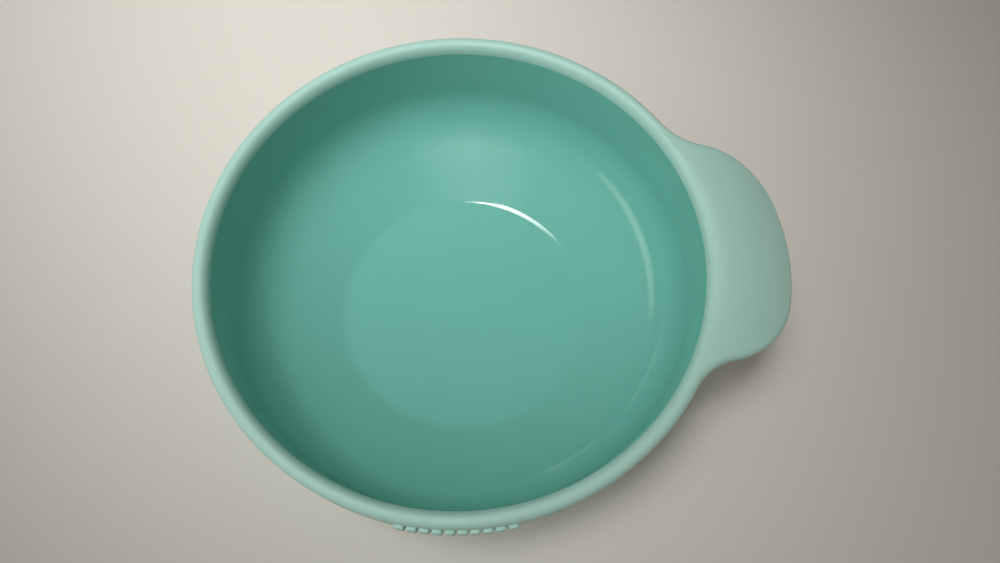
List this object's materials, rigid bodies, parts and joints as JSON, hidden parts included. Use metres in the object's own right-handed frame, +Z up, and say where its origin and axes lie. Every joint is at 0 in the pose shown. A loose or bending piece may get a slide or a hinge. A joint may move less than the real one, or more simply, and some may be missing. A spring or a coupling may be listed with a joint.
{
  "type": "suction bowl",
  "caption": "Toddler's feeding bowl with a drooping thumb handle, standing on a removable soft suction base with a pull-up release tab.",
  "frame": {"origin": "on the bowl's axis, at the table that the suction skirt stands on", "axes": "+X towards the thumb handle, +Z up out of the bowl's mouth"},
  "size_m": [0.1463, 0.1289, 0.056],
  "materials": {
    "bowl_plastic": "moulded polypropylene, polished inside, satin rim and handle",
    "base_soft": "soft moulded thermoplastic elastomer, matte"
  },
  "bodies": {
    "skirt": {"suction_skirt": "base_soft"},
    "collar": {"suction_collar": "base_soft"},
    "bowl": {"bowl": "bowl_plastic"},
    "release_tab": {"release_tab": "base_soft"}
  },
  "joints": [
    {"name": "base_press", "type": "slide", "parent": "skirt", "child": "collar", "axis": [0, 0, -1], "range_m": [0, 0.0025], "stiffness_N_per_m": 4000, "deforming": ["suction_skirt"]},
    {"name": "bowl_lift_off", "type": "slide", "parent": "collar", "child": "bowl", "axis": [0, 0, 1], "range_m": [0, 0.03]},
    {"name": "release_tab_lift", "type": "hinge", "parent": "skirt", "child": "release_tab", "pos_m": [-0.0458, 0, 0.0018], "axis": [0, 1, 0], "range_deg": [0, 40], "stiffness_Nm_per_rad": 0.02}
  ]
}
